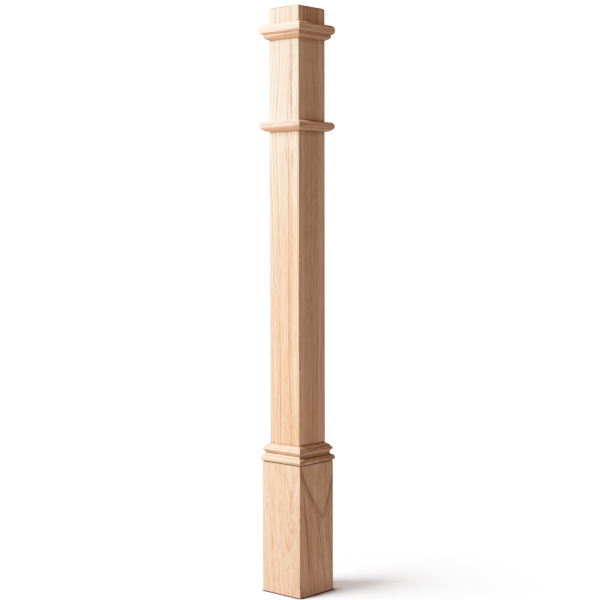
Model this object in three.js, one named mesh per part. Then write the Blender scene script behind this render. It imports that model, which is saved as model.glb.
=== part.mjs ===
// Square box newel post in unfinished red oak, in millimetres, +Z up.
// The origin is the middle of the underside, and the front of the post faces -Y.
//
// A plain square shaft runs from the floor to the top. Four mitred boards wrap its foot as a base,
// and three rings of mitred moulding wrap it: one on the base, one in the middle, one under the top.
// A handrail lands on the shaft between the middle collar and the top collar.

import * as THREE from "three";

// Shaft
const postHeight = 1321;
const shaftWidth = 88.9;
const topRoundover = 6.35; // radius along the four top edges
const shaftArris = 1; // radius along the four upright corners

// Joints
const glueLine = 0.3; // gap where one piece of wood meets another

// Base boards
const baseBoardHeight = 298.5;
const baseBoardThickness = 12.5;
const baseBoardEase = 0.8; // small bevel along a board's outer top and bottom edge

// Base moulding, listed from its foot up
const torus = { projection: 16, radius: 7.5 };
const baseFillet = { projection: 7, height: 4.8 };
const undercut = { height: 6.4, hollow: 0.5 };
const beak = { projection: 12.6, radius: 1.6, halfSweepDegrees: 50 };
const beakSlope = { height: 13.4, bulge: 1.3 };

// Middle collar, listed from its foot up
const thumb = { projection: 16, height: 12.2, fullness: 1.75 };
const thumbCrown = { height: 10, depth: 9 };

// Top collar, listed from its foot up
const bedMould = { projection: 9.5, height: 6.6, bulge: 0.9 };
const bedFilletHeight = 6;
const bullnose = { projection: 16.3, height: 21.9, crownDepth: 9.5, fullness: 2.3 };

// Every moulding keeps this thickness where its foot or top dies into the shaft.
const mouldingToe = 1.2;

// Places along the post
const topBlockHeight = 38; // the shaft that stands above the top collar
const landingHeight = 181.7; // the shaft that shows between the two collars

// How finely the curves are cut
const arcSteps = 8;
const noseSteps = 14;
const arrisSteps = 3;

// How square a rounded nose is: this for an ellipse, and more for a squarer one
const ellipseFullness = 2;

const halfShaft = shaftWidth / 2;
const baseMouldingFoot = baseBoardHeight + glueLine;
const topCollarHeight = bedMould.height + bedFilletHeight + bullnose.height;
const topCollarFoot = postHeight - topBlockHeight - topCollarHeight;
const middleCollarHeight = thumb.height + thumbCrown.height;
const middleCollarTop = topCollarFoot - landingHeight;
const middleCollarFoot = middleCollarTop - middleCollarHeight;

// The four sides, each turned about the post's axis from the front
const sides = [
  { name: "front", turn: 0 },
  { name: "right", turn: Math.PI / 2 },
  { name: "back", turn: Math.PI },
  { name: "left", turn: -Math.PI / 2 },
];

const woods = {
  shaft: { color: new THREE.Color(0.86, 0.69, 0.52), roughness: 0.62, metalness: 0 },
  boards: { color: new THREE.Color(0.84, 0.66, 0.49), roughness: 0.62, metalness: 0 },
  moulding: { color: new THREE.Color(0.87, 0.7, 0.53), roughness: 0.6, metalness: 0 },
};

// Points of an arc about a centre, from one angle to another, both in degrees.
function arc(centreX, centreY, radius, fromDegrees, toDegrees, steps = arcSteps) {
  const points = [];
  for (let i = 0; i <= steps; i++) {
    const angle = THREE.MathUtils.degToRad(fromDegrees + ((toDegrees - fromDegrees) * i) / steps);
    points.push(new THREE.Vector2(centreX + radius * Math.cos(angle), centreY + radius * Math.sin(angle)));
  }
  return points;
}

// Points of a rounded nose about a centre: a superellipse of the given depth and half height.
function nose(centreX, centreY, depth, halfHeight, fullness, fromDegrees, toDegrees) {
  return arc(0, 0, 1, fromDegrees, toDegrees, noseSteps).map(({ x, y }) => {
    const out = Math.sign(x) * Math.abs(x) ** (2 / fullness);
    const up = Math.sign(y) * Math.abs(y) ** (2 / fullness);
    return new THREE.Vector2(centreX + depth * out, centreY + halfHeight * up);
  });
}

// Points of a gentle curve between two points that bulges by the given height in its middle.
function bulged(fromPoint, toPoint, bulge) {
  const chord = toPoint.clone().sub(fromPoint);
  const outward = new THREE.Vector2(chord.y, -chord.x).normalize();
  const control = fromPoint
    .clone()
    .add(toPoint)
    .multiplyScalar(0.5)
    .addScaledVector(outward, 2 * bulge);
  return new THREE.QuadraticBezierCurve(fromPoint, control, toPoint).getPoints(arcSteps);
}

// The profiles run from the foot up the outside. X is the projection from the shaft's face.

function boardProfile() {
  const face = baseBoardThickness;
  const ease = baseBoardEase;
  return [
    new THREE.Vector2(0, 0),
    new THREE.Vector2(face - ease, 0),
    new THREE.Vector2(face, ease),
    new THREE.Vector2(face, baseBoardHeight - ease),
    new THREE.Vector2(face - ease, baseBoardHeight),
    new THREE.Vector2(0, baseBoardHeight),
  ];
}

// A torus that sits on the base, a fillet, and a beak with an undercut below and a slope above.
function baseMouldingProfile() {
  const torusCentre = torus.projection - torus.radius;
  const filletFoot = 2 * torus.radius;
  const undercutFoot = filletFoot + baseFillet.height;
  const beakCentreX = beak.projection - beak.radius;
  const beakCentreY = undercutFoot + undercut.height + beak.radius;
  const top = beakCentreY + beakSlope.height;
  const tip = arc(beakCentreX, beakCentreY, beak.radius, -beak.halfSweepDegrees, beak.halfSweepDegrees);
  return [
    new THREE.Vector2(0, 0),
    ...arc(torusCentre, torus.radius, torus.radius, -90, 90, noseSteps),
    new THREE.Vector2(baseFillet.projection, filletFoot),
    ...bulged(new THREE.Vector2(baseFillet.projection, undercutFoot), tip[0], -undercut.hollow),
    ...tip.slice(1, -1),
    ...bulged(tip.at(-1), new THREE.Vector2(mouldingToe, top), beakSlope.bulge),
    new THREE.Vector2(0, top),
  ];
}

// A thumb: a long convex curve out from the shaft, and a rounded crown back over it.
function middleCollarProfile() {
  const reach = thumb.projection - mouldingToe;
  const crownX = thumb.projection - thumbCrown.depth;
  return [
    new THREE.Vector2(0, 0),
    ...nose(mouldingToe, thumb.height, reach, thumb.height, thumb.fullness, -90, 0),
    ...nose(crownX, thumb.height, thumbCrown.depth, thumbCrown.height, ellipseFullness, 0, 90).slice(1),
    new THREE.Vector2(0, middleCollarHeight),
  ];
}

// A full bullnose over a bed mould: a sloping, slightly convex face under a narrow fillet.
function topCollarProfile() {
  const bedTop = new THREE.Vector2(bedMould.projection, bedMould.height);
  const halfNose = bullnose.height / 2;
  const noseY = topCollarHeight - halfNose;
  const overhang = bullnose.projection - bedMould.projection;
  const crownX = bullnose.projection - bullnose.crownDepth;
  return [
    new THREE.Vector2(0, 0),
    ...bulged(new THREE.Vector2(mouldingToe, 0), bedTop, bedMould.bulge),
    ...nose(bedMould.projection, noseY, overhang, halfNose, bullnose.fullness, -90, 0),
    ...nose(crownX, noseY, bullnose.crownDepth, halfNose, bullnose.fullness, 0, 90).slice(1),
    new THREE.Vector2(0, topCollarHeight),
  ];
}

// One length of a profile along the front of the shaft, mitred at both ends.
// The extrusion is made one unit long, and each point is then moved along it in step with its
// distance from the post's axis, which lays both ends on the diagonals of the square.
function mitredLength(profile) {
  const geometry = new THREE.ExtrudeGeometry(new THREE.Shape(profile), {
    depth: 1,
    bevelEnabled: false,
  });
  const position = geometry.attributes.position;
  const mitreSetBack = (glueLine / 2) * Math.SQRT2;
  for (let i = 0; i < position.count; i++) {
    const fromAxis = halfShaft + glueLine + position.getX(i);
    const along = (position.getZ(i) - 0.5) * 2 * (fromAxis - mitreSetBack);
    position.setXYZ(i, -along, -fromAxis, position.getY(i));
  }
  geometry.computeVertexNormals();
  return geometry;
}

function addRing(post, name, profile, foot, wood) {
  const ring = new THREE.Group();
  ring.position.z = foot;
  for (const side of sides) {
    const piece = new THREE.Mesh(mitredLength(profile), new THREE.MeshStandardMaterial(wood));
    piece.name = name + "_" + side.name;
    piece.rotation.z = side.turn;
    ring.add(piece);
  }
  post.add(ring);
}

// The shaft: a square prism with eased upright corners, drawn in at its top round the roundover.
// It is extruded in steps of one unit, and each ring of points is then moved to its own height.
// Two of the rings mark off the landing, which makes each side of it a face of its own.
function shaftGeometry() {
  const straight = halfShaft - shaftArris;
  const section = new THREE.Shape();
  section.absarc(straight, straight, shaftArris, 0, Math.PI * 0.5);
  section.absarc(-straight, straight, shaftArris, Math.PI * 0.5, Math.PI);
  section.absarc(-straight, -straight, shaftArris, Math.PI, Math.PI * 1.5);
  section.absarc(straight, -straight, shaftArris, Math.PI * 1.5, Math.PI * 2);
  section.closePath();

  const rings = [
    new THREE.Vector2(halfShaft, 0),
    new THREE.Vector2(halfShaft, middleCollarTop + glueLine),
    new THREE.Vector2(halfShaft, topCollarFoot - glueLine),
    ...arc(halfShaft - topRoundover, postHeight - topRoundover, topRoundover, 0, 90),
  ];
  const steps = rings.length - 1;
  const geometry = new THREE.ExtrudeGeometry(section, {
    depth: steps,
    steps,
    bevelEnabled: false,
    curveSegments: arrisSteps,
  });
  const position = geometry.attributes.position;
  for (let i = 0; i < position.count; i++) {
    const ring = rings[Math.round(position.getZ(i))];
    const share = ring.x / halfShaft;
    position.setXYZ(i, position.getX(i) * share, position.getY(i) * share, ring.y);
  }
  geometry.computeVertexNormals();
  return geometry;
}

const post = new THREE.Group();

const shaft = new THREE.Mesh(shaftGeometry(), new THREE.MeshStandardMaterial(woods.shaft));
shaft.name = "shaft";
post.add(shaft);

addRing(post, "base_board", boardProfile(), 0, woods.boards);
addRing(post, "base_moulding", baseMouldingProfile(), baseMouldingFoot, woods.moulding);
addRing(post, "middle_collar", middleCollarProfile(), middleCollarFoot, woods.moulding);
addRing(post, "top_collar", topCollarProfile(), topCollarFoot, woods.moulding);

export default post;
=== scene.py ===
"""Looks of a square box newel post in bare oak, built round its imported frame.

The post stands on the floor with its front facing -Y. The shaft runs the whole height, four mitred
boards wrap its foot, and three rings of mitred moulding wrap it higher up. Every piece is worked
from a block of stock and dressed in oak whose growth rings run through it in three dimensions.
"""

import logging
import math
from abc import ABC, abstractmethod
from collections.abc import Callable, Mapping, Sequence
from dataclasses import dataclass
from enum import Enum
from typing import Any

import bmesh
import bpy
from mathutils import Matrix, Vector


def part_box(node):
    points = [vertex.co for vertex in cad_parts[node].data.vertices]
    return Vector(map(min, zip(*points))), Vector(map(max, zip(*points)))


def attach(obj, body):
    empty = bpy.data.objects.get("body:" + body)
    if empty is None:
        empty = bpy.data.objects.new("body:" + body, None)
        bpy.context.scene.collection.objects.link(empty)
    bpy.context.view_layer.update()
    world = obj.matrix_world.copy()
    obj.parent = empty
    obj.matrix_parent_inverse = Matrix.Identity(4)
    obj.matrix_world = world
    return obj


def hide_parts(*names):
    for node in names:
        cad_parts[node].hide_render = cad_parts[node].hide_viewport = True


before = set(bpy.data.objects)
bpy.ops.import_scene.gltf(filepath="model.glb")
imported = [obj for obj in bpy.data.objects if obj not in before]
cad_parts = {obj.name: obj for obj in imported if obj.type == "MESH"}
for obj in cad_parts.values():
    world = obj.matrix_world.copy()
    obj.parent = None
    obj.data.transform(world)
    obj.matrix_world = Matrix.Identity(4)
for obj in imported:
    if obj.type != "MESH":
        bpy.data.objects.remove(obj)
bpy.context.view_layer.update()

MM = 0.001
TOUCHING = 1e-6  # metres between places that count as the same
BODY = "root"

Colour = tuple[float, float, float]
Point = tuple[float, float]
Socket = bpy.types.NodeSocket
Piece = bpy.types.Object

log = logging.getLogger("newel_post")


class Side(Enum):
    """The four sides of the post, by how many degrees each is turned from the front."""

    FRONT = 0
    RIGHT = 90
    BACK = 180
    LEFT = -90

    @property
    def turn(self) -> float:
        """The side's turn about the post's axis, in radians."""
        return math.radians(self.value)

    @property
    def label(self) -> str:
        """The side's name, as the end of a node's name."""
        return self.name.lower()


class Slot(Enum):
    """The record's material slots."""

    SHAFT = "shaft_oak"
    BASE_BOARD = "base_board_oak"
    MOULDING = "moulding_oak"


class Grain(Enum):
    """Which way the grain runs in a piece at the front, by the turns that lay it along Z."""

    UPRIGHT = (0.0, 0.0, 0.0)
    LENGTHWISE = (0.0, -math.pi / 2, 0.0)


class Across(Enum):
    """Which way a streak is measured across a piece at the front."""

    WIDTH = 0
    DEPTH = 1


class Blend(Enum):
    """How one colour is blended into another."""

    MIX = "MIX"
    MULTIPLY = "MULTIPLY"


class Part(Enum):
    """The parts of a mesh that are picked."""

    CORNERS = "VERT"
    EDGES = "EDGE"
    FACES = "FACE"


# Materials


@dataclass(frozen=True)
class Pattern:
    """A noise in the wood.

    Its patches have the given sizes in millimetres, its shift is added to the piece's seed, and it
    comes to show over the given stretch of its values.
    """

    periods: Sequence[float]
    shift: float
    detail: float = 1.0
    roughness: float = 0.5
    shows: Point = (0.0, 1.0)


# Patterns that lie along the grain, which is the third axis
STRAY = Pattern((70, 70, 380), 0, detail=2)
PORES = Pattern((0.8, 0.8, 14), 4, shows=(0.50, 0.64))
FIBRES = Pattern((0.9, 0.9, 50), 5, detail=3, roughness=0.7, shows=(0.1, 1.3))
BROAD = Pattern((16, 16, 420), 7, detail=2)
RIPPLE = Pattern((7, 7, 45), 9, detail=2)
DASHES = Pattern((3, 3, 40), 13, shows=(0.1, 0.5))

# Patterns by the distance from the pith, the distance round it and the height
RAYS = Pattern((22, 0.55, 9), 6, shows=(0.66, 0.76))
BANDS = Pattern((9, 300, 1), 8, detail=2)

# Patterns of the streaks on a piece: how they wander, by up to about the reach, and where they break
DRIFT = Pattern((30, 30, 160), 11, detail=2)
GAPS = Pattern((3, 3, 16), 12, shows=(-0.2, 0.5))
DRIFT_REACH = 1.6

# How a seed sets where a noise starts along each axis, and how far a noise is widened about its middle
NOISE_START = ((1.0, 0.0), (0.7, 3.1), (1.3, -5.7))
SWAY_REACH = 3.0

# The rings: how far round one radian counts, how uneven they are, and what sets their tones apart
AROUND_PER_RADIAN = 90.0
UNEVEN_RINGS = 0.55
RING_TONE_SHIFT = 0.37

# Where the dark early wood of a ring comes and goes, as shares of the ring
EARLY_COMES = (0.0, 0.14)
EARLY_GOES = (0.25, 0.70)

# How strong the weakest ring is, and how many of the pores show in early wood and everywhere
WEAKEST_RING = 0.2
PORES_IN_EARLY = 0.85
PORES_ANYWHERE = 0.14

# How much each pattern counts towards the warm tone
BROAD_WARMTH = 0.4
BAND_WARMTH = 0.5
STRIPE_WARMTH = 0.45
RING_WARMTH = 0.7

# How much rougher or smoother parts of the wood are, and how high or deep, as shares of a pore's depth
EARLY_ROUGHER = 0.08
PORES_ROUGHER = 0.12
RAYS_SMOOTHER = 0.08
FIBRE_HEIGHT = 0.12
EARLY_DEPTH = 0.3

# How soft a filled nail hole's sides and ends are, as shares of its half width and height
HOLE_SOFT_SIDES = 0.3
HOLE_SOFT_ENDS = 0.2

# The values over which the warm tone, the rosy tone and the end grain come to show
WARM_SHOWS = (-0.8, 0.8)
ROSY_SHOWS = (-0.2, 1.1)
END_GRAIN_SHOWS = (0.15, 0.85)


def by_math_node(operation: str, reflected: bool = False) -> Callable[..., "Value"]:
    """Makes a method for one of Python's operators, which adds a Math node.

    Args:
        operation: The Math node's operation.
        reflected: Whether the value stands on the operator's right.

    Returns:
        The method.
    """

    def method(value: "Value", *others: "Value | float") -> "Value":
        """Works out the operation on this value and any other."""
        values = (*others, value) if reflected else (value, *others)
        return value.graph.math(operation, *values)

    return method


class Value:
    """A number that varies over a surface, with arithmetic that adds its Math nodes."""

    def __init__(self, graph: "Graph", socket: Socket) -> None:
        """Keeps a socket and the graph that it belongs to."""
        self.graph = graph
        self.socket = socket

    __add__ = by_math_node("ADD")
    __radd__ = by_math_node("ADD", reflected=True)
    __sub__ = by_math_node("SUBTRACT")
    __rsub__ = by_math_node("SUBTRACT", reflected=True)
    __mul__ = by_math_node("MULTIPLY")
    __rmul__ = by_math_node("MULTIPLY", reflected=True)
    __truediv__ = by_math_node("DIVIDE")
    __rtruediv__ = by_math_node("DIVIDE", reflected=True)
    __abs__ = by_math_node("ABSOLUTE")


class Graph:
    """The nodes of one material or world."""

    def __init__(self, owner: bpy.types.Material | bpy.types.World) -> None:
        """Empties a node tree and keeps it.

        Args:
            owner: The material or world that the tree belongs to.
        """
        owner.use_nodes = True
        self.tree = owner.node_tree
        self.tree.nodes.clear()

    def add(
        self,
        kind: str,
        settings: Mapping[str, Any] | None = None,
        inputs: Mapping[str | int, Any] | None = None,
    ) -> bpy.types.Node:
        """Adds a node.

        Args:
            kind: The node's type, less the words ShaderNode that every type starts with.
            settings: The node's own properties, which are set before its sockets.
            inputs: Values or links of its sockets, by name or number.

        Returns:
            The new node.
        """
        node = self.tree.nodes.new("ShaderNode" + kind)
        for name, value in (settings or {}).items():
            setattr(node, name, value)
        for name, value in (inputs or {}).items():
            if isinstance(value, Value):
                self.tree.links.new(value.socket, node.inputs[name])
            elif isinstance(value, Socket):
                self.tree.links.new(value, node.inputs[name])
            else:
                node.inputs[name].default_value = value
        return node

    def math(self, operation: str, *values: Value | float) -> Value:
        """Returns the result of a Math node on one or more values."""
        node = self.add("Math", {"operation": operation}, dict(enumerate(values)))
        return Value(self, node.outputs[0])

    def step(self, value: Value, low: float, high: float) -> Value:
        """Returns 0 below one number, 1 above another, and a smooth rise between them."""
        span = {"Value": value, "From Min": low, "From Max": high}
        return Value(self, self.add("MapRange", {"interpolation_type": "SMOOTHSTEP"}, span).outputs[0])

    def window(self, value: Value, low: float, high: float, soft: float) -> Value:
        """Returns 1 between two numbers and 0 outside them, with edges of a given softness."""
        rise = self.step(value, low - soft, low + soft)
        return rise * (1 - self.step(value, high - soft, high + soft))

    def parts(self, place: Socket) -> tuple[Value, ...]:
        """Returns a place's three coordinates."""
        split = self.add("SeparateXYZ", None, {0: place})
        return tuple(Value(self, output) for output in split.outputs)

    def noise(self, place: Socket, pattern: Pattern, seed: float) -> bpy.types.Node:
        """Adds a noise that is stretched along each axis.

        Args:
            place: The place that the noise is read at.
            pattern: The sizes of its patches and how fine it is.
            seed: The piece's seed, to which the pattern adds its own shift.

        Returns:
            The noise node.
        """
        start = [(seed + pattern.shift) * rate + offset for rate, offset in NOISE_START]
        stretched = self.add(
            "VectorMath",
            {"operation": "MULTIPLY_ADD"},
            {0: place, 1: [1 / period for period in pattern.periods], 2: start},
        ).outputs[0]
        fineness = {"Scale": 1.0, "Detail": pattern.detail, "Roughness": pattern.roughness}
        return self.add("TexNoise", None, {"Vector": stretched, **fineness})

    def sway(self, place: Socket, pattern: Pattern, seed: float) -> Value:
        """Returns a noise as a number that swings about zero, mostly within one either way."""
        level = Value(self, self.noise(place, pattern, seed).outputs[0])
        return (level - 0.5) * SWAY_REACH

    def shown(self, place: Socket, pattern: Pattern, seed: float) -> Value:
        """Returns how much a noise shows, from 0 to 1."""
        level = Value(self, self.noise(place, pattern, seed).outputs[0])
        return self.step(level, *pattern.shows)

    def chance(self, value: Value, seed: float) -> Value:
        """Returns a number from 0 to 1 that is the same wherever the value is the same."""
        node = self.add("TexWhiteNoise", {"noise_dimensions": "1D"}, {"W": value + seed})
        return Value(self, node.outputs["Value"])

    def blend(self, first: Any, second: Any, share: Value | float, mode: Blend = Blend.MIX) -> Socket:
        """Returns one colour blended into another.

        Args:
            first: The colour where the share is 0.
            second: The colour that is mixed in or multiplied by.
            share: How much of the second is used.
            mode: How the second is blended in.

        Returns:
            The blended colour's socket.
        """
        paints = [(*paint, 1.0) if isinstance(paint, tuple) else paint for paint in (first, second)]
        settings = {"data_type": "RGBA", "blend_type": mode.value}
        return self.add("Mix", settings, {0: share, 6: paints[0], 7: paints[1]}).outputs[2]


@dataclass(frozen=True)
class Streak:
    """A band of another tone that runs up a piece, in millimetres from the post's axis and floor.

    Its edges and ends fade over their softness. Its lean is how far it moves across for each
    millimetre up, and it is broken by gaps that take away up to the given share of it.
    """

    low: float
    high: float
    tone: Colour
    soft: float = 2.0
    across: Across = Across.WIDTH
    foot: float = -1000.0
    top: float = 3000.0
    soft_ends: float = 30.0
    lean: float = 0.0
    broken: float = 0.0


@dataclass(frozen=True)
class RingBand:
    """A run of growth rings of another tone, by their distances from the pith in millimetres."""

    low: float
    high: float
    tone: Colour
    soft: float = 2.0
    calm: float = 0.0
    foot: float = -1000.0
    soft_foot: float = 40.0
    ragged: float = 0.0


@dataclass(frozen=True)
class Seam:
    """Painted shading: a band of painted shade round the post, such as the shade in a groove, or of painted
    light where its tone is above 1, by height in millimetres.
    """

    low: float
    high: float
    # the default tone is the painted shade of a joint
    tone: Colour = (0.52, 0.43, 0.36)
    soft: float = 0.4


@dataclass(frozen=True)
class BradMark:
    """A filled nail hole: where it is on a piece at the front, and its half width and height."""

    x: float
    z: float
    half_width: float = 0.8
    half_height: float = 3.0


@dataclass(frozen=True)
class Figure:
    """How the growth rings lie in a piece, in millimetres, with W along the grain."""

    seed: float
    pith: Point
    lean: Point = (0.0, 0.0)
    ring: float = 3.0
    wander: float = 3.0
    wave: float = 0.5
    taper: float = 0.0
    taper_from: float = 0.0
    taper_to: float = 1.0


@dataclass(frozen=True)
class Oak:
    """Bare sanded oak, whose rings, pores and rays run through the whole piece."""

    figure: Figure
    grain: Grain = Grain.UPRIGHT
    streaks: tuple[Streak, ...] = ()
    bands: tuple[RingBand, ...] = ()
    # bands of painted light and shade round the post, by height
    seams: tuple[Seam, ...] = ()
    brads: tuple[BradMark, ...] = ()
    pale: Colour = (0.85, 0.58, 0.385)
    warm: Colour = (0.73, 0.445, 0.27)
    line: Colour = (0.36, 0.185, 0.10)
    pore: Colour = (0.22, 0.11, 0.06)
    rosy: Colour = (1.0, 0.91, 0.87)
    # an overall tint; on the lit lengths of moulding it is painted light
    tint: Colour = (1.0, 1.0, 1.0)
    filler: Colour = (0.16, 0.08, 0.04)
    end_grain: Colour = (0.55, 0.47, 0.40)
    line_strength: float = 1.0
    stripe_strength: float = 0.7
    stripe_width: float = 4.2
    dash_strength: float = 0.32
    fibre_strength: float = 0.4
    ray_strength: float = 0.35
    pore_strength: float = 0.75
    specular: float = 0.3
    roughness: float = 0.62
    pore_depth: float = 0.00012

    def material(self, name: str, side: Side) -> bpy.types.Material:
        """Makes the finish of one piece.

        Args:
            name: The material's name.
            side: The side of the post that the piece is on.

        Returns:
            The material.
        """
        material = bpy.data.materials.new(name)
        graph = Graph(material)
        place, wood = self.places(graph, side)
        radius, around = self.rings(graph, wood)
        tint, rough, height = self.tones(graph, wood, radius, around)
        tint = self.marks(graph, place, tint)
        relief = {"Strength": 1.0, "Distance": self.pore_depth, "Height": height}
        normal = graph.add("Bump", None, relief).outputs[0]
        looks = {"Base Color": tint, "Roughness": rough, "Normal": normal}
        looks["Specular IOR Level"] = self.specular
        shader = graph.add("BsdfPrincipled", None, looks)
        graph.add("OutputMaterial", None, {"Surface": shader.outputs[0]})
        return material

    def places(self, graph: Graph, side: Side) -> tuple[Socket, Socket]:
        """Turns a piece's place to the front, in millimetres, and lays its grain along Z.

        Args:
            graph: The material's nodes.
            side: The side of the post that the piece is on.

        Returns:
            The place at the front, and the place in the wood.
        """
        place = graph.add("TexCoord").outputs["Object"]
        to_front = {"Vector": place, "Rotation": (0.0, 0.0, -side.turn), "Scale": (1 / MM,) * 3}
        front = graph.add("Mapping", None, to_front).outputs[0]
        upright = {"Vector": front, "Rotation": self.grain.value}
        return front, graph.add("Mapping", None, upright).outputs[0]

    def rings(self, graph: Graph, wood: Socket) -> tuple[Value, Value]:
        """Works out where a place is in the tree.

        Args:
            graph: The material's nodes.
            wood: The place in the wood.

        Returns:
            The distance from the pith and the distance round it, in millimetres.
        """
        figure = self.figure
        u, v, w = graph.parts(wood)
        stray = graph.noise(wood, STRAY, figure.seed)
        strays = graph.add("SeparateColor", None, {0: stray.outputs[1]})
        stray_u, stray_v = (Value(graph, output) - 0.5 for output in strays.outputs[:2])
        taper = graph.step(w, figure.taper_from, figure.taper_to) * figure.taper
        from_u = u - figure.pith[0] + w * figure.lean[0] + stray_u * (SWAY_REACH * figure.wander)
        from_v = v - figure.pith[1] + w * figure.lean[1] + stray_v * (SWAY_REACH * figure.wander)
        ripple = graph.sway(wood, RIPPLE, figure.seed) * figure.wave
        radius = graph.math("SQRT", from_u * from_u + from_v * from_v) + ripple - taper
        around = graph.math("ARCTAN2", from_u, from_v) * AROUND_PER_RADIAN
        return radius, around

    def tones(
        self, graph: Graph, wood: Socket, radius: Value, around: Value
    ) -> tuple[Socket, Value, Value]:
        """Colours the wood from its rings, pores, fibres and rays.

        Args:
            graph: The material's nodes.
            wood: The place in the wood.
            radius: The distance from the pith.
            around: The distance round the pith.

        Returns:
            The colour, the roughness and the height of the surface.
        """
        seed = self.figure.seed
        along = graph.parts(wood)[2]
        polar = graph.add("CombineXYZ", None, {0: radius, 1: around}).outputs[0]
        ray_place = graph.add("CombineXYZ", None, {0: radius, 1: around, 2: along}).outputs[0]
        uneven = graph.sway(polar, Pattern((4 * self.figure.ring, 400, 1), 2), seed) * UNEVEN_RINGS
        count = radius / self.figure.ring + uneven
        ring = graph.math("FLOOR", count)
        share = count - ring
        strength = graph.chance(ring, seed)
        early = graph.step(share, *EARLY_COMES) * (1 - graph.step(share, *EARLY_GOES))
        early = early * (strength * strength * (1 - WEAKEST_RING) + WEAKEST_RING)
        ring_tone = graph.chance(ring, seed + RING_TONE_SHIFT) - 0.5

        pores = graph.shown(wood, PORES, seed) * (early * PORES_IN_EARLY + PORES_ANYWHERE)
        fibres = graph.sway(wood, FIBRES, seed)
        dashes = graph.sway(wood, DASHES, seed)
        rays = graph.shown(ray_place, RAYS, seed)

        broad = graph.sway(wood, BROAD, seed)
        bands = graph.sway(polar, BANDS, seed)
        stripe = Pattern((self.stripe_width, self.stripe_width, 200), 10, 2.0, 0.6, shows=(0.1, 1.0))
        stripes = graph.sway(wood, stripe, seed)
        warmth = broad * BROAD_WARMTH + bands * BAND_WARMTH
        warmth = warmth + stripes * STRIPE_WARMTH + ring_tone * RING_WARMTH
        tint = graph.blend(self.pale, self.warm, graph.step(warmth, *WARM_SHOWS))
        # the overall tint, which is painted light on the lit lengths of moulding
        tint = graph.blend(tint, self.tint, 1.0, Blend.MULTIPLY)
        tint = graph.blend(tint, self.rosy, graph.step(broad - bands, *ROSY_SHOWS), Blend.MULTIPLY)
        for band in self.bands:
            mask = graph.window(radius + stripes * band.ragged, band.low, band.high, band.soft)
            mask = mask * graph.step(along, band.foot - band.soft_foot, band.foot + band.soft_foot)
            early = early * (1 - mask * band.calm)
            tint = graph.blend(tint, band.tone, mask, Blend.MULTIPLY)
        for lines in (
            early * self.line_strength,
            graph.step(stripes, *stripe.shows) * self.stripe_strength,
            graph.step(fibres, *FIBRES.shows) * self.fibre_strength,
            graph.step(dashes, *DASHES.shows) * self.dash_strength,
            rays * self.ray_strength,
        ):
            tint = graph.blend(tint, self.line, lines)
        tint = graph.blend(tint, self.pore, pores * self.pore_strength)

        rough = early * EARLY_ROUGHER + pores * PORES_ROUGHER - rays * RAYS_SMOOTHER
        rough = rough + self.roughness
        height = fibres * FIBRE_HEIGHT - early * EARLY_DEPTH - pores
        return tint, rough, height

    def marks(self, graph: Graph, place: Socket, tint: Socket) -> Socket:
        """Adds the tones of places on the piece: streaks of grain and of painted light and shade, bands of
        painted light and shade by height, nail holes and end grain.

        Args:
            graph: The material's nodes.
            place: The place on the piece, turned to the front.
            tint: The wood's colour.

        Returns:
            The colour with the marks.
        """
        x, y, z = graph.parts(place)
        drift = graph.sway(place, DRIFT, self.figure.seed) * DRIFT_REACH
        gaps = graph.step(graph.sway(place, GAPS, self.figure.seed), *GAPS.shows)
        # streaks of grain, and streaks of painted light and shade
        for streak in self.streaks:
            across = (x, y)[streak.across.value] + drift - z * streak.lean
            mask = graph.window(across, streak.low, streak.high, streak.soft)
            mask = mask * graph.window(z, streak.foot, streak.top, streak.soft_ends)
            mask = mask * (1 - gaps * streak.broken)
            tint = graph.blend(tint, streak.tone, mask, Blend.MULTIPLY)
        # painted light and shade, in bands by height
        for shading_band in self.seams:
            mask = graph.window(z, shading_band.low, shading_band.high, shading_band.soft)
            tint = graph.blend(tint, shading_band.tone, mask, Blend.MULTIPLY)
        for brad in self.brads:
            sides = [brad.half_width * (1 + way * HOLE_SOFT_SIDES) for way in (-1, 1)]
            ends = [brad.half_height * (1 + way * HOLE_SOFT_ENDS) for way in (-1, 1)]
            across, up = graph.step(abs(x - brad.x), *sides), graph.step(abs(z - brad.z), *ends)
            tint = graph.blend(tint, self.filler, (1 - across) * (1 - up))
        if self.grain is Grain.UPRIGHT:
            normal = graph.add("NewGeometry").outputs["True Normal"]
            cut = graph.step(abs(graph.parts(normal)[2]), *END_GRAIN_SHOWS)
            tint = graph.blend(tint, self.end_grain, cut, Blend.MULTIPLY)
        return tint


# Modelling

EASE_SEGMENTS = 2
SHARP = math.radians(40)  # edges that turn more are eased
SMOOTH = math.radians(30)  # faces that meet at less are shaded as one
UPWARD = 0.5  # the part of a face's normal along Z past which it is a top face


def clear_selection() -> None:
    """Leaves edit mode and deselects every object."""
    if bpy.context.object and bpy.context.object.mode != "OBJECT":
        bpy.ops.object.mode_set(mode="OBJECT")
    bpy.ops.object.select_all(action="DESELECT")


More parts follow.
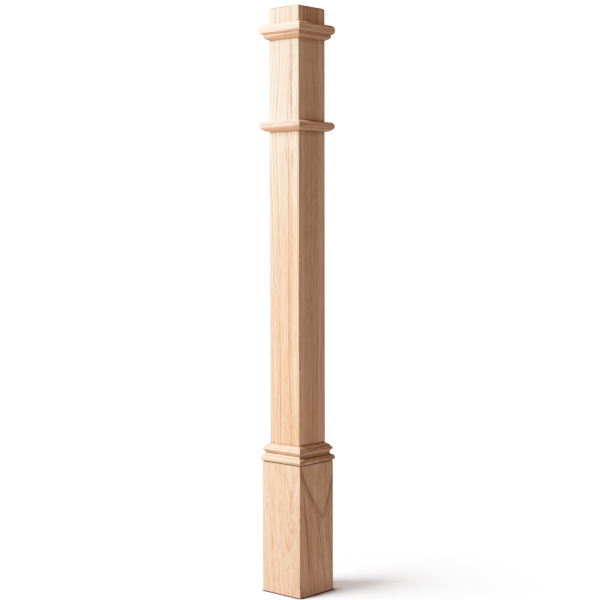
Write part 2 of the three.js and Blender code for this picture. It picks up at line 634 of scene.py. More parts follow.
class Stock:
    """A block of wood on the bench, which is shaped with Blender's own mesh tools."""

    def __init__(self, name: str, low: Sequence[float], high: Sequence[float]) -> None:
        """Adds a block between two corners, with its place in its mesh.

        Args:
            name: The piece's name.
            low: Its lowest corner.
            high: Its highest corner.
        """
        clear_selection()
        low, high = Vector(low), Vector(high)
        bpy.ops.mesh.primitive_cube_add(size=1, location=(low + high) / 2, scale=high - low)
        self.piece = bpy.context.object
        self.piece.name = name
        self.piece.data.name = name
        bpy.ops.object.transform_apply(location=True, rotation=True, scale=True)
        bpy.ops.object.mode_set(mode="EDIT")

    def pick(self, part: Part, test: Callable[[Any], bool]) -> None:
        """Selects the corners, edges or faces that pass a test, and nothing else.

        Args:
            part: Which of them to look through.
            test: The test of one of them.
        """
        bpy.ops.mesh.select_mode(type=part.value)
        bpy.ops.mesh.select_all(action="DESELECT")
        mesh = bmesh.from_edit_mesh(self.piece.data)
        elements = {Part.CORNERS: mesh.verts, Part.EDGES: mesh.edges, Part.FACES: mesh.faces}[part]
        for element in elements:
            if test(element):
                element.select_set(True)
        mesh.select_flush_mode()
        bmesh.update_edit_mesh(self.piece.data)

    def raise_to(self, height: float, out: float) -> None:
        """Extrudes the top face up and moves its outer edge, to the next point of an outline.

        Args:
            height: The height of the new top face.
            out: The place of its outer edge, along Y.
        """
        top = max(corner.co.z for corner in bmesh.from_edit_mesh(self.piece.data).verts)
        self.pick(
            Part.FACES,
            lambda face: all(corner.co.z > top - TOUCHING for corner in face.verts)
            and abs(face.normal.z) > UPWARD,
        )
        bpy.ops.mesh.extrude_region_move(TRANSFORM_OT_translate={"value": (0, 0, height - top)})
        self.place_outer_edge(out)

    def place_outer_edge(self, out: float) -> None:
        """Moves the outer edge of the selected top face.

        Args:
            out: The edge's new place along Y.
        """
        mesh = bmesh.from_edit_mesh(self.piece.data)
        picked = [corner for corner in mesh.verts if corner.select]
        edge = min(corner.co.y for corner in picked)
        mesh.verts.index_update()
        outer = {corner.index for corner in picked if corner.co.y < edge + TOUCHING}
        self.pick(Part.CORNERS, lambda corner: corner.index in outer)
        bpy.ops.transform.translate(value=(0, out - edge, 0))

    def round_edges(self, radius: float, segments: int, test: Callable[[Any], bool]) -> None:
        """Rounds the edges that pass a test, with the given number of faces."""
        self.pick(Part.EDGES, test)
        bpy.ops.mesh.bevel(offset=radius, offset_type="OFFSET", segments=segments, profile=0.5)

    def mitre(self, gap: float) -> None:
        """Cuts both ends of a front piece on the diagonals of the post.

        Args:
            gap: The width of the joint that is left between two pieces.
        """
        for end in (1, -1):
            normal = Vector((end, 1, 0)).normalized()
            bpy.ops.mesh.select_all(action="SELECT")
            place = -normal * gap / 2
            bpy.ops.mesh.bisect(plane_co=place, plane_no=normal, use_fill=True, clear_outer=True)

    def finish(self, ease: float = 0.0) -> Piece:
        """Cleans the mesh, eases its sharp edges and shades it.

        Args:
            ease: The radius of the ease along every sharp edge.

        Returns:
            The finished piece.
        """
        bpy.ops.mesh.select_all(action="SELECT")
        bpy.ops.mesh.remove_doubles(threshold=TOUCHING)
        bpy.ops.mesh.dissolve_degenerate(threshold=TOUCHING)
        bpy.ops.mesh.select_all(action="SELECT")
        bpy.ops.mesh.normals_make_consistent(inside=False)
        bpy.ops.object.mode_set(mode="OBJECT")
        if ease:
            modifier = self.piece.modifiers.new("ease", "BEVEL")
            modifier.width = ease
            modifier.segments = EASE_SEGMENTS
            modifier.limit_method = "ANGLE"
            modifier.angle_limit = SHARP
            bpy.ops.object.modifier_apply(modifier="ease")
        bpy.ops.object.shade_smooth_by_angle(angle=SMOOTH)
        return self.piece


def turned_copy(piece: Piece, name: str, side: Side) -> Piece:
    """Copies a front piece with a mesh of its own, and turns it to another side of the post.

    Args:
        piece: The piece at the front.
        name: The copy's name.
        side: The side that the copy goes to.

    Returns:
        The copy.
    """
    clear_selection()
    piece.select_set(True)
    bpy.context.view_layer.objects.active = piece
    bpy.ops.object.duplicate(linked=False)
    copy = bpy.context.object
    copy.name = name
    copy.data.name = name
    copy.rotation_euler.z = side.turn
    bpy.ops.object.transform_apply(location=True, rotation=True, scale=True)
    return copy


def dress(piece: Piece, node: str, oak: Oak, side: Side) -> Piece:
    """Gives a piece its finish, and puts it in the place of its node.

    Args:
        piece: The finished mesh.
        node: The name of the node that it stands for.
        oak: The wood that it is cut from.
        side: The side of the post that it is on.

    Returns:
        The dressed piece.
    """
    piece.data.materials.clear()
    piece.data.materials.append(oak.material(piece.name, side))
    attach(piece, BODY)
    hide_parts(node)
    return piece


def arc(
    centre: Point, radii: Point, from_degrees: float, to_degrees: float, steps: int, fullness: float = 2.0
) -> list[Point]:
    """Returns the points of an arc of an ellipse, or of a squarer curve with more fullness.

    Args:
        centre: The centre of the arc.
        radii: Its reach outward and its reach upward.
        from_degrees: Where it starts, anticlockwise from straight out.
        to_degrees: Where it ends.
        steps: How many straight stretches it has.
        fullness: 2 for an ellipse, and more for a squarer curve.

    Returns:
        The points, first to last.
    """
    points = []
    for i in range(steps + 1):
        angle = math.radians(from_degrees + (to_degrees - from_degrees) * i / steps)
        out, up = math.cos(angle), math.sin(angle)
        out = math.copysign(abs(out) ** (2 / fullness), out)
        up = math.copysign(abs(up) ** (2 / fullness), up)
        points.append((centre[0] + radii[0] * out, centre[1] + radii[1] * up))
    return points


def bulged(start: Point, end: Point, bulge: float, steps: int) -> list[Point]:
    """Returns the points of a gentle curve that bulges outward by a given height in its middle.

    Args:
        start: The curve's first point.
        end: Its last point.
        bulge: The height of the curve over its chord, or below 0 for a hollow.
        steps: How many straight stretches it has.

    Returns:
        The points, first to last.
    """
    first, last = Vector(start), Vector(end)
    chord = last - first
    outward = Vector((chord.y, -chord.x)).normalized()
    handle = (first + last) / 2 + outward * 2 * bulge
    points = []
    for i in range(steps + 1):
        t = i / steps
        point = first * (1 - t) ** 2 + handle * 2 * t * (1 - t) + last * t**2
        points.append((point.x, point.y))
    return points


# The places and the wood of the pieces

SHAFT_LOW, SHAFT_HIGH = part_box("shaft")
HALF_SHAFT = SHAFT_HIGH.x
MOULDINGS = ("base_moulding_front", "middle_collar_front", "top_collar_front")
COLLAR_FEET = tuple(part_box(node)[0].z / MM for node in MOULDINGS)
COLLAR_TOPS = tuple(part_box(node)[1].z / MM for node in MOULDINGS)
BOARD_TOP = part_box("base_board_front")[1].z / MM
BASE_HALF_WIDTH = -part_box("base_board_front")[0].y
SHAFT_TOP = SHAFT_HIGH.z / MM

# Places that a streak takes in whole, across the width or the depth of the post
ON_RIGHT = (42, 60)
ON_FRONT = (-60, -38)
WHOLE_WIDTH = (-100, 100)

# Tones that the wood is multiplied by: painted shade, a slanted grain mark and fine grain lines; and half the
# width of a fine line
DEEP_SHADE = (0.20, 0.13, 0.09)
SOFT_SHADE = (0.14, 0.12, 0.10)
SHADE_OVER_COLLAR = (0.50, 0.42, 0.35)
SHADE_UNDER_COLLAR = (0.78, 0.75, 0.72)
SLANTED_MARK = (0.55, 0.46, 0.40)
DARK_LINE = (0.50, 0.46, 0.42)
FAINT_LINE = (0.74, 0.72, 0.68)
HALF_LINE = 1.6


def shade_by_collars() -> list[Streak]:
    """Draws the shade that gathers on the shaft's right side.

    Returns:
        A streak over each ring of moulding, and one under each of the two collars.
    """
    over = [
        Streak(*ON_RIGHT, SHADE_OVER_COLLAR, foot=top - 1, top=top + 2.4, soft_ends=0.8)
        for top in COLLAR_TOPS
    ]
    under = [
        Streak(*ON_RIGHT, SHADE_UNDER_COLLAR, foot=foot - 9, top=foot + 2, soft_ends=5)
        for foot in COLLAR_FEET[1:]
    ]
    return over + under


def top_lines(middles: Sequence[float], tone: Colour, across: Across = Across.WIDTH) -> list[Streak]:
    """Returns fine lines of the grain that show above the top collar, at the given places."""
    extent = {"soft": 0.8, "across": across, "foot": COLLAR_TOPS[2], "soft_ends": 4}
    return [Streak(at - HALF_LINE, at + HALF_LINE, tone, **extent) for at in middles]


SHAFT_OAK = Oak(
    Figure(3.0, (-95, 120), (0.010, -0.004), 4.0, 3.5, 0.35, 6.0, taper_from=1040, taper_to=1250),
    streaks=(
        Streak(5, 27, (0.97, 0.90, 0.87), soft=2.5, foot=300, top=1240),
        Streak(20, 25.5, (0.66, 0.46, 0.41), soft=1.0, foot=1045, top=1250, broken=0.8),
        # painted highlight: a paler strip along the front face beside its corner with the right face
        Streak(31, 43, (1.06, 1.08, 1.06), soft=2),
        Streak(11.5, 18.5, (0.93, 0.82, 0.74), soft=2, foot=540, top=1003, soft_ends=35, broken=0.5),
        Streak(105, 108, SLANTED_MARK, soft=0.8, lean=-0.1, foot=972, top=1010, soft_ends=9),
        Streak(-34, -31, SLANTED_MARK, soft=0.8, lean=0.06, foot=955, top=1004, soft_ends=9),
        Streak(22, 38, (0.97, 0.84, 0.74), soft=3, foot=330, top=400, soft_ends=30, broken=0.8),
        # the front face paler and cooler from about 930 mm up and warmer towards the foot, partly the wood's
        # own tone and partly painted light; and painted light where the middle collar's shadow falls on the
        # front face
        Streak(*ON_FRONT, (0.95, 1.19, 1.32), 2, Across.DEPTH, foot=930, soft_ends=160),
        Streak(*ON_FRONT, (0.97, 0.88, 0.82), 2, Across.DEPTH, top=560, soft_ends=400),
        Streak(*ON_FRONT, (1.20, 1.35, 1.45), 2, Across.DEPTH, COLLAR_FEET[1] - 7, COLLAR_FEET[1], 2),
        # painted shade: the right face darker from about 750 mm up, and its top block darker still
        Streak(*ON_RIGHT, (0.86, 0.85, 0.84), foot=750, soft_ends=450),
        Streak(*ON_RIGHT, (0.86, 0.82, 0.76), foot=COLLAR_TOPS[2], soft_ends=4),
        *shade_by_collars(),
        Streak(-43, -28, (1.10, 1.12, 1.12), 1.5, Across.DEPTH),
        Streak(-26, 20, (0.95, 0.94, 0.93), 2, Across.DEPTH),
        Streak(21, 50, (1.09, 1.12, 1.14), 2, Across.DEPTH),
        *top_lines((-24.8, 21.4), DARK_LINE),
        *top_lines((-6.4, 6.4), FAINT_LINE),
        *top_lines((-27.7, -13.4), DARK_LINE, Across.DEPTH),
        *top_lines((12.6, 19.2), FAINT_LINE, Across.DEPTH),
    ),
    # painted shade at the joints under the middle and top collars and over the base moulding, and along the
    # top's rounded edge, which darkens the top face too
    seams=(
        Seam(COLLAR_FEET[1] - 1.5, COLLAR_FEET[1]),
        Seam(COLLAR_FEET[2] - 1.5, COLLAR_FEET[2]),
        Seam(COLLAR_TOPS[0], COLLAR_TOPS[0] + 3.5, (0.70, 0.60, 0.52), soft=1.5),
        Seam(SHAFT_TOP - 3, SHAFT_TOP + 4, (0.72, 0.73, 0.74), soft=1),
    ),
    rosy=(1.0, 0.95, 0.93),
    line_strength=0.8,
    stripe_strength=0.68,
    stripe_width=3.6,
)


def board_painted_shade(shade: Colour) -> tuple[Seam, ...]:
    """Returns the painted shade along a base board's top edge, under the moulding, and along its foot at the
    floor.
    """
    return Seam(BOARD_TOP - 0.8, BOARD_TOP + 1, shade), Seam(-1, 1.6, shade)


# How far apart the four lengths of a moulding lie in their tree: by seed, and by the pith's place
SEED_STEP = 13.7
PITH_STEP = (4, -5)


def moulding_oaks(
    seed: float,
    pith: Point,
    ring: float,
    painted_light_tint: Colour,
    lit_seams: tuple[Seam, ...] = (),
    shaded_seams: tuple[Seam, ...] = (),
    brads: tuple[BradMark, ...] = (),
) -> tuple[Oak, ...]:
    """Returns four lengths of moulding with their grain along them, each from another place in a tree.

    Args:
        seed: The seed of the front length, which the others follow.
        pith: Where the pith lies from the front length.
        ring: The width of a growth ring.
        painted_light_tint: A paler tint of the two lengths that face the light, which is painted light.
        lit_seams: The bands of painted light and shade on those two.
        shaded_seams: The bands of painted light and shade on the other two.
        brads: The filled nail holes of the front length.

    Returns:
        The wood of each side, in the order of the sides.
    """
    oaks = []
    for number, side in enumerate(Side):
        place = (pith[0] + PITH_STEP[0] * number, pith[1] + PITH_STEP[1] * number)
        figure = Figure(seed + SEED_STEP * number, place, ring=ring, wander=4.5, wave=0.9)
        holes = brads if side is Side.FRONT else ()
        # the two lengths that face the light are painted paler, which is painted light
        if side in (Side.FRONT, Side.LEFT):
            oaks.append(Oak(figure, Grain.LENGTHWISE, seams=lit_seams, brads=holes, tint=painted_light_tint))
        else:
            oaks.append(Oak(figure, Grain.LENGTHWISE, seams=shaded_seams, line_strength=2.0))
    return tuple(oaks)


# every board has painted shade along its top edge and foot, deeper on the right and back boards
BASE_OAKS = (
    Oak(
        Figure(21.0, (11, -49), (-0.12, 0), 5.0, 2.0, taper=75, taper_from=-100, taper_to=400),
        seams=board_painted_shade(SOFT_SHADE),
        line_strength=0.38,
        stripe_strength=1.0,
        stripe_width=3.4,
        dash_strength=0.45,
        streaks=(
            Streak(*WHOLE_WIDTH, (0.92, 0.97, 0.98), foot=235, soft_ends=60),
            Streak(26, 37, (0.82, 0.70, 0.63), soft=3, foot=190, top=236, soft_ends=14, broken=0.6),
        ),
    ),
    Oak(
        Figure(34.0, (46, -45), (0.155, 0), 6.0, 2.0, taper=47, taper_from=150, taper_to=300),
        seams=board_painted_shade(DEEP_SHADE),
        bands=(
            RingBand(5.5, 15, (0.58, 0.50, 0.45), soft=4.5, calm=0.5, foot=180, ragged=4),
            RingBand(-80, 5, (0.97, 1.0, 1.02), soft=3.5, calm=0.93),
        ),
        streaks=(
            # painted shade along the right board's foot
            Streak(*WHOLE_WIDTH, (0.56, 0.50, 0.46), top=16, soft_ends=32),
            Streak(-20.5, -16, (0.60, 0.50, 0.44), soft=1, lean=-0.11, foot=55, top=225, soft_ends=25),
        ),
        stripe_strength=0.8,
    ),
    Oak(
        Figure(47.0, (-6, -47), ring=5.0, taper=60, taper_from=0, taper_to=320),
        seams=board_painted_shade(DEEP_SHADE),
        line_strength=0.7,
    ),
    Oak(Figure(58.0, (14, 20), (0.01, 0), 4.2), seams=board_painted_shade(SOFT_SHADE), line_strength=0.7),
)
BASE_MOULDING_OAKS = moulding_oaks(
    71.0,
    (-340.0, 10.0),
    4.2,
    # painted light: the lit lengths paler and the torus's underside lighter; painted shade: the joint under
    # the torus and the grooves above it, and on the shaded lengths the torus's middle darker
    painted_light_tint=(1.05, 1.12, 1.15),
    lit_seams=(
        Seam(297.5, 299.4, SOFT_SHADE),
        Seam(299.6, 303.5, (1.1, 1.45, 1.7), soft=1.0),
        Seam(313.3, 314.4, (0.75, 0.68, 0.62)),
        Seam(317.6, 319.4, (0.50, 0.41, 0.34)),
    ),
    shaded_seams=(
        Seam(297.5, 300.2, (0.13, 0.08, 0.05)),
        Seam(300.6, 302.6, (1.15, 1.15, 1.15), soft=0.6),
        Seam(304.5, 312.0, (0.80, 0.78, 0.74), soft=1.5),
        Seam(312.2, 314.8, (0.42, 0.34, 0.26), soft=0.6),
        Seam(317.2, 319.8, (0.36, 0.28, 0.20), soft=0.6),
    ),
    brads=(BradMark(25.4, 330.5),),
)
MIDDLE_COLLAR_OAKS = moulding_oaks(
    83.0,
    (-1020.0, 10.0),
    4.2,
    # painted light: the lit lengths paler, lightest on the crown and under the thumb; painted shade on the
    # shaded lengths: the thumb and the crown's top darker
    painted_light_tint=(1.15, 1.18, 1.25),
    lit_seams=(
        Seam(1040, 1051, (1.0, 1.13, 1.20), soft=2),
        Seam(1060, 1068, (1.18, 1.48, 1.70), soft=2),
    ),
    shaded_seams=(
        Seam(1040, 1056, (0.88, 0.87, 0.86), soft=2),
        Seam(1063, 1068, (0.70, 0.70, 0.70), soft=1.5),
    ),
)
TOP_COLLAR_OAKS = moulding_oaks(
    97.0,
    (-1230.0, -20.0),
    4.4,
    # painted light: the lit lengths paler, lightest on the nose; painted shade: the recess under the nose,
    # and on the shaded lengths the bed and the nose darker and the crown's top lighter
    painted_light_tint=(1.2, 1.28, 1.35),
    lit_seams=(
        Seam(1253.6, 1257.8, (0.68, 0.60, 0.50), soft=0.8),
        Seam(1258.2, 1262.5, (1.0, 1.14, 1.22), soft=0.8),
        Seam(1264, 1280, (1.0, 1.15, 1.25), soft=2),
    ),
    shaded_seams=(
        Seam(1240, 1254.5, (0.96, 0.96, 0.96)),
        Seam(1254.4, 1262.5, (0.74, 0.70, 0.64), soft=0.8),
        Seam(1262.5, 1272, (0.82, 0.82, 0.82), soft=2),
        Seam(1276, 1290, (1.2, 1.25, 1.25), soft=1.5),
    ),
)


# The pieces


@dataclass
class Shaft:
    """The square shaft, which runs from the floor to the top of the post."""

    roundover: float = 6.35 * MM
    roundover_segments: int = 10
    arris: float = 1.0 * MM
    arris_segments: int = 4
    oak: Oak = SHAFT_OAK

    def build(self) -> list[Piece]:
        """Models the shaft: a block, its top edges rounded over and its long corners eased.

        Returns:
            The shaft, alone in a list.
        """
        stock = Stock("shaft_wood", SHAFT_LOW, SHAFT_HIGH)
        top = SHAFT_HIGH.z
        stock.round_edges(
            self.roundover,
            self.roundover_segments,
            lambda edge: all(corner.co.z > top - TOUCHING for corner in edge.verts),
        )
        stock.round_edges(self.arris, self.arris_segments, self.is_corner_edge)
        piece = stock.finish()
        return [dress(piece, "shaft", self.oak, Side.FRONT)]

    @staticmethod
    def is_corner_edge(edge: bmesh.types.BMEdge) -> bool:
        """Tells whether an edge runs up one of the shaft's four corners.

        Args:
            edge: The edge.

        Returns:
            Whether it does.
        """
        first, last = (corner.co for corner in edge.verts)
        same_corner = first.x * last.x > 0 and first.y * last.y > 0
        return same_corner and all(abs(abs(place.x) - abs(place.y)) < TOUCHING for place in (first, last))


@dataclass
class Ring(ABC):
    """Four mitred lengths round the shaft, modelled once at the front and turned to each side."""

    node: str = ""
    slot: Slot = Slot.MOULDING
    oaks: tuple[Oak, ...] = ()
    joint: float = 0.05 * MM
    ease: float = 0.12 * MM

    def build(self) -> list[Piece]:
        """Models the front length, copies it to the other sides and dresses all four.

        Returns:
            The four lengths, in the order of the sides.
        """
        first = self.model(f"{self.node}_{Side.FRONT.label}_wood")
        pieces = [first]
        for side in list(Side)[1:]:
            pieces.append(turned_copy(first, f"{self.node}_{side.label}_wood", side))
        for piece, side, oak in zip(pieces, Side, self.oaks):
            dress(piece, f"{self.node}_{side.label}", oak, side)
        return pieces

    @abstractmethod
    def model(self, name: str) -> Piece:
        """Models the front length."""

    @property
    def box(self) -> tuple[Vector, Vector]:
        """The lowest and the highest corner of the front node."""
        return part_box(f"{self.node}_front")


@dataclass
class BaseBoards(Ring):
    """The four boards that wrap the shaft's foot."""

    node: str = "base_board"
    slot: Slot = Slot.BASE_BOARD
    oaks: tuple[Oak, ...] = BASE_OAKS
    eased_edge: float = 0.8 * MM
    arris: float = 0.9 * MM
    segments: int = 4

    def model(self, name: str) -> Piece:
        """Models the front board: a block, its outer edges eased and its ends mitred.

        Args:
            name: The board's name.

        Returns:
            The board.
        """
        low, high = self.box
        half_width = -low.y
        stock = Stock(name, (-half_width, low.y, low.z), (half_width, -HALF_SHAFT - self.joint, high.z))
        stock.round_edges(
            self.arris,
            self.segments,
            lambda edge: all(corner.co.y < low.y + TOUCHING for corner in edge.verts)
            and abs(edge.verts[0].co.x - edge.verts[1].co.x) < TOUCHING,
        )
        for height in (low.z, high.z):
            stock.round_edges(
                self.eased_edge,
                self.segments,
                lambda edge: all(
                    abs(corner.co.z - height) < TOUCHING and corner.co.y < low.y + self.arris + TOUCHING
                    for corner in edge.verts
                ),
            )
        stock.mitre(self.joint)
        return stock.finish()


@dataclass
class MouldingRing(Ring):
    """Four mitred lengths of a moulding, raised from a block by the points of its outline."""

    toe: float = 1.2
    overrun: float = 2 * MM
    curve_steps: int = 14
    nose_steps: int = 20

    def model(self, name: str) -> Piece:
        """Models the front length: a bar raised point by point and mitred at both ends.

        Args:
            name: The length's name.

        Returns:
            The length.
        """
        low, high = self.box
        face = high.y  # the shaft's face, with the glue line that the nodes keep to it
        points = [(face - out * MM, low.z + up * MM) for out, up in self.outline()]
        (first_out, first_up), (second_out, second_up) = points[:2]
        end = -low.y + self.overrun
        stock = Stock(name, (-end, first_out, first_up), (end, -HALF_SHAFT - self.joint, second_up))
        stock.pick(Part.FACES, lambda face: face.normal.z > UPWARD)
        stock.place_outer_edge(second_out)
        for out, up in points[2:]:
            stock.raise_to(up, out)
        stock.mitre(self.joint)
        return stock.finish(self.ease)

    @abstractmethod
    def outline(self) -> list[Point]:
        """Returns the outline's points from the foot up, outward from the shaft, in millimetres."""


@dataclass
class BaseMoulding(MouldingRing):
    """A torus on the base, a fillet, and a beak with an undercut below it and a slope above."""

    node: str = "base_moulding"
    oaks: tuple[Oak, ...] = BASE_MOULDING_OAKS
    torus_projection: float = 16
    torus_radius: float = 7.5
    fillet_projection: float = 7
    fillet_height: float = 4.8
    undercut_height: float = 6.4
    undercut_hollow: float = 0.5
    beak_projection: float = 12.6
    beak_radius: float = 1.6
    beak_half_sweep: float = 50
    slope_height: float = 13.4
    slope_bulge: float = 1.3

    def outline(self) -> list[Point]:
        """Draws the outline.

        Returns:
            Its points from the foot up.
        """
        centre = (self.torus_projection - self.torus_radius, self.torus_radius)
        torus = arc(centre, (self.torus_radius,) * 2, -90, 90, self.nose_steps)
        fillet_foot = 2 * self.torus_radius
        undercut_foot = fillet_foot + self.fillet_height
        beak_middle = undercut_foot + self.undercut_height + self.beak_radius
        beak_centre = (self.beak_projection - self.beak_radius, beak_middle)
        sweep = self.beak_half_sweep
        tip = arc(beak_centre, (self.beak_radius,) * 2, -sweep, sweep, self.curve_steps)
        top = beak_middle + self.slope_height
        return [
            *torus,
            (self.fillet_projection, fillet_foot),
            *bulged((self.fillet_projection, undercut_foot), tip[0], -self.undercut_hollow, self.curve_steps),
            *tip[1:-1],
            *bulged(tip[-1], (self.toe, top), self.slope_bulge, self.curve_steps),
        ]


@dataclass
class MiddleCollar(MouldingRing):
    """A thumb: a long convex curve out from the shaft and a rounded crown back over it."""

    node: str = "middle_collar"
    oaks: tuple[Oak, ...] = MIDDLE_COLLAR_OAKS
    projection: float = 16
    thumb_height: float = 12.2
    thumb_fullness: float = 1.75
    crown_height: float = 10
    crown_depth: float = 9

    def outline(self) -> list[Point]:
        """Draws the outline.

        Returns:
            Its points from the foot up.
        """
        reach = (self.projection - self.toe, self.thumb_height)
        under = arc((self.toe, self.thumb_height), reach, -90, 0, self.nose_steps, self.thumb_fullness)
        crown_centre = (self.projection - self.crown_depth, self.thumb_height)
        crown = arc(crown_centre, (self.crown_depth, self.crown_height), 0, 90, self.nose_steps)
        return [*under, *crown[1:]]


@dataclass
class TopCollar(MouldingRing):
    """A full bullnose over a bed mould, with a narrow fillet between them."""

    node: str = "top_collar"
    oaks: tuple[Oak, ...] = TOP_COLLAR_OAKS
    bed_projection: float = 9.5
    bed_height: float = 6.6
    bed_bulge: float = 0.9
    fillet_height: float = 6
    nose_projection: float = 16.3
    nose_height: float = 21.9
    crown_depth: float = 9.5
    fullness: float = 2.3

    def outline(self) -> list[Point]:
        """Draws the outline.

        Returns:
            Its points from the foot up.
        """
        half = self.nose_height / 2
        nose_middle = self.bed_height + self.fillet_height + half
        bed = bulged((self.toe, 0), (self.bed_projection, self.bed_height), self.bed_bulge, self.curve_steps)
        overhang = (self.nose_projection - self.bed_projection, half)
        nose_from = (self.bed_projection, nose_middle)
        under = arc(nose_from, overhang, -90, 0, self.nose_steps, self.fullness)
        crown_centre = (self.nose_projection - self.crown_depth, nose_middle)
        crown = arc(crown_centre, (self.crown_depth, half), 0, 90, self.nose_steps, self.fullness)
        return [*bed, *under, *crown[1:]]


@dataclass(frozen=True)
class Lamp:
    """A soft rectangular light that faces the middle of the post.

    The azimuth is measured from the front of the post towards its left, and the elevation from level.
    """

    name: str
    azimuth: float
    elevation: float
    distance: float
    size: Point
    power: float
    colour: Colour = (1.0, 1.0, 1.0)
    lights_floor: bool = False


KEY = Lamp("key", 40, 39, 5.0, (2.2, 2.2), 785, (1.0, 0.958, 0.985))
BOUNCE = Lamp("bounce", 29.4, -9.6, 1.86, (2.2, 0.7), 32, (1.0, 0.42, 0.25))
FLOOR_SIDE = Lamp("floor_side", 31, 50, 5.0, (2.6, 2.0), 930, lights_floor=True)
FLOOR_ABOVE = Lamp("floor_above", 45, 80, 5.0, (4.0, 4.0), 280, lights_floor=True)


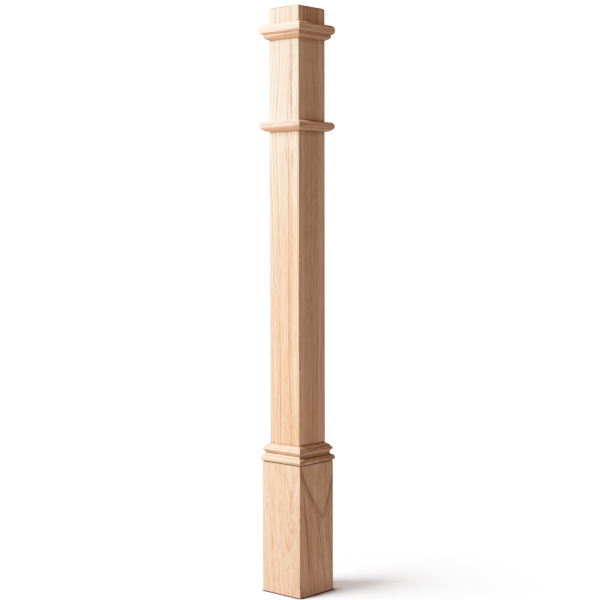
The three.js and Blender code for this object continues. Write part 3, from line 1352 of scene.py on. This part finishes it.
@dataclass
class Studio:
    """The camera at the photograph's angle, the lights, the floor and the picture's response.

    Lengths on the floor and the camera's place are in metres, and angles in degrees.
    """

    distance: float = 3.086823
    azimuth: float = 42.05
    height: float = 0.83511
    yaw: float = -0.1026
    pitch: float = 3.1431
    roll: float = -0.1057
    focal_pixels: float = 1362.944
    picture_pixels: float = 600.0
    sensor: float = 36.0
    clip: Point = (0.1, 100.0)

    lamps: tuple[Lamp, ...] = (KEY, BOUNCE, FLOOR_SIDE, FLOOR_ABOVE)
    fill_above: Colour = (0.35, 0.214, 0.153)
    fill_below: Colour = (0.79, 0.66, 0.61)
    horizon: float = 0.1
    backdrop: float = 3.0
    floor_radius: float = 3.0
    floor_sides: int = 96
    floor_tone: Colour = (0.9, 0.92, 0.94)
    # painted shadow on the floor: a dark line where the base meets it, and a wider shade beside the base's
    # right side
    contact_shadow_tone: Colour = (0.05, 0.036, 0.03)
    contact_shadow_from: float = 0.002
    contact_shadow_width: float = 0.011
    side_width: float = 0.030
    side_shade: float = 0.55
    contact_round: float = 0.009
    shadow_radius: float = 0.15
    white_radius: float = 0.65

    white_level: float = 3.0
    response_places: tuple[float, ...] = (0.1, 0.25, 0.5, 0.8, 1.2, 1.6, 2.1, 2.6)

    def build(self) -> None:
        """Sets up everything that isn't the post."""
        self.add_camera()
        self.add_world()
        floor = self.add_floor()
        for lamp in self.lamps:
            self.add_light(lamp, floor)
        self.set_response()

    def add_camera(self) -> None:
        """Adds the camera that was fitted to the photograph's edges."""
        around, aim = math.radians(self.azimuth), math.radians(self.azimuth + self.yaw)
        down, roll = math.radians(self.pitch), math.radians(self.roll)
        forward = Vector((-math.sin(aim) * math.cos(down), math.cos(aim) * math.cos(down), -math.sin(down)))
        level = Vector((math.cos(aim), math.sin(aim), 0))
        upward = level.cross(forward)
        right = level * math.cos(roll) + upward * math.sin(roll)
        up = upward * math.cos(roll) - level * math.sin(roll)
        lens = bpy.data.cameras.new("camera")
        lens.sensor_width = self.sensor
        lens.lens = self.focal_pixels * self.sensor / self.picture_pixels
        lens.clip_start, lens.clip_end = self.clip
        camera = bpy.data.objects.new("camera", lens)
        place = Vector((self.distance * math.sin(around), -self.distance * math.cos(around), self.height))
        turn = Matrix((right, up, -forward)).transposed()
        camera.matrix_world = Matrix.Translation(place) @ turn.to_4x4()
        bpy.context.scene.collection.objects.link(camera)
        bpy.context.scene.camera = camera

    def add_light(self, lamp: Lamp, floor: Piece) -> None:
        """Adds a lamp that lights either the floor alone or all but the floor.

        Args:
            lamp: The lamp.
            floor: The floor.
        """
        data = bpy.data.lights.new(lamp.name, "AREA")
        data.shape = "RECTANGLE"
        data.size, data.size_y = lamp.size
        data.energy = lamp.power
        data.color = lamp.colour
        light = bpy.data.objects.new(lamp.name, data)
        around, up = math.radians(lamp.azimuth), math.radians(lamp.elevation)
        away = Vector((-math.sin(around) * math.cos(up), -math.cos(around) * math.cos(up), math.sin(up)))
        turn = away.to_track_quat("Z", "Y").to_matrix().to_4x4()
        middle_of_post = Vector((0, 0, SHAFT_HIGH.z / 2))
        light.matrix_world = Matrix.Translation(middle_of_post + away * lamp.distance) @ turn
        light.visible_camera = False
        receivers = bpy.data.collections.new(f"{lamp.name}_receivers")
        receivers.objects.link(floor)
        if not lamp.lights_floor:
            receivers.collection_objects[0].light_linking.link_state = "EXCLUDE"
        light.light_linking.receiver_collection = receivers
        bpy.context.scene.collection.objects.link(light)

    def add_world(self) -> None:
        """Makes a white backdrop for the camera and a dim, warm fill for everything else."""
        world = bpy.data.worlds.new("studio")
        bpy.context.scene.world = world
        graph = Graph(world)
        seen = graph.add("LightPath").outputs["Is Camera Ray"]
        white = graph.add("Background", None, {"Color": (1, 1, 1, 1), "Strength": self.backdrop})
        direction = graph.add("TexCoord").outputs["Generated"]
        above = graph.step(graph.parts(direction)[2], -self.horizon, self.horizon)
        colour = graph.blend(self.fill_below, self.fill_above, above)
        fill = graph.add("Background", None, {"Color": colour, "Strength": 1.0})
        mixed = graph.add("MixShader", None, {0: seen, 1: fill.outputs[0], 2: white.outputs[0]})
        graph.add("OutputWorld", None, {"Surface": mixed.outputs[0]})

    def add_floor(self) -> Piece:
        """Adds a plain pale floor that takes the post's shadow, with a painted contact shadow along the base,
        and fades to the white backdrop.

        Returns:
            The floor.
        """
        clear_selection()
        size = {"vertices": self.floor_sides, "radius": self.floor_radius}
        bpy.ops.mesh.primitive_circle_add(**size, fill_type="NGON")
        floor = bpy.context.object
        floor.name = "floor"
        floor.visible_diffuse = False
        floor.visible_glossy = False
        material = bpy.data.materials.new("floor")
        graph = Graph(material)
        place = graph.add("TexCoord").outputs["Object"]
        reach = graph.add("VectorMath", {"operation": "LENGTH"}, {0: place}).outputs["Value"]
        away = graph.step(Value(graph, reach), self.shadow_radius, self.white_radius)
        beyond = self.beyond_post(graph, place)
        # painted shadow: dark where the base meets the floor, and a wider shade beside its right side
        contact_shadow = graph.step(beyond, self.contact_shadow_from, self.contact_shadow_width)
        on_right = graph.step(graph.parts(place)[0], BASE_HALF_WIDTH - self.contact_round, BASE_HALF_WIDTH)
        shadow_beside = on_right * (1 - graph.step(beyond, 0.0, self.side_width))
        tone = graph.blend(self.contact_shadow_tone, self.floor_tone, contact_shadow)
        tone = graph.blend(tone, self.contact_shadow_tone, shadow_beside * self.side_shade)
        matt = graph.add("BsdfDiffuse", None, {"Color": tone})
        white = graph.add("Emission", None, {"Color": (1, 1, 1, 1), "Strength": self.backdrop})
        mixed = graph.add("MixShader", None, {0: away, 1: matt.outputs[0], 2: white.outputs[0]})
        graph.add("OutputMaterial", None, {"Surface": mixed.outputs[0]})
        floor.data.materials.append(material)
        return floor

    def beyond_post(self, graph: Graph, place: Socket) -> Value:
        """Works out how far a place on the floor is beyond the base, with rounded corners.

        Args:
            graph: The floor's nodes.
            place: The place on the floor.

        Returns:
            The distance in metres.
        """
        straight = BASE_HALF_WIDTH - self.contact_round
        x, y = (graph.math("MAXIMUM", abs(part) - straight, 0.0) for part in graph.parts(place)[:2])
        return graph.math("SQRT", x * x + y * y) - self.contact_round

    def set_response(self) -> None:
        """Sets a response that rolls off towards white as a film does, by 1 - exp(-exposure)."""
        view = bpy.context.scene.view_settings
        view.view_transform = "Standard"
        view.use_curve_mapping = True
        mapping = view.curve_mapping
        mapping.white_level = (self.white_level,) * 3
        curve = mapping.curves[3]
        for place in self.response_places:
            level = (1 - math.exp(-place)) / (1 - math.exp(-self.white_level))
            curve.points.new(place / self.white_level, level)
        for point in curve.points:
            point.handle_type = "AUTO_CLAMPED"
        mapping.update()


def main() -> None:
    """Builds the studio and the post, and reports each piece."""
    logging.basicConfig(level=logging.INFO, format="%(name)s: %(message)s")
    Studio().build()
    for assembly in (Shaft(), BaseBoards(), BaseMoulding(), MiddleCollar(), TopCollar()):
        for piece in assembly.build():
            log.info("%s has %d faces", piece.name, len(piece.data.polygons))


if __name__ == "__main__":
    main()
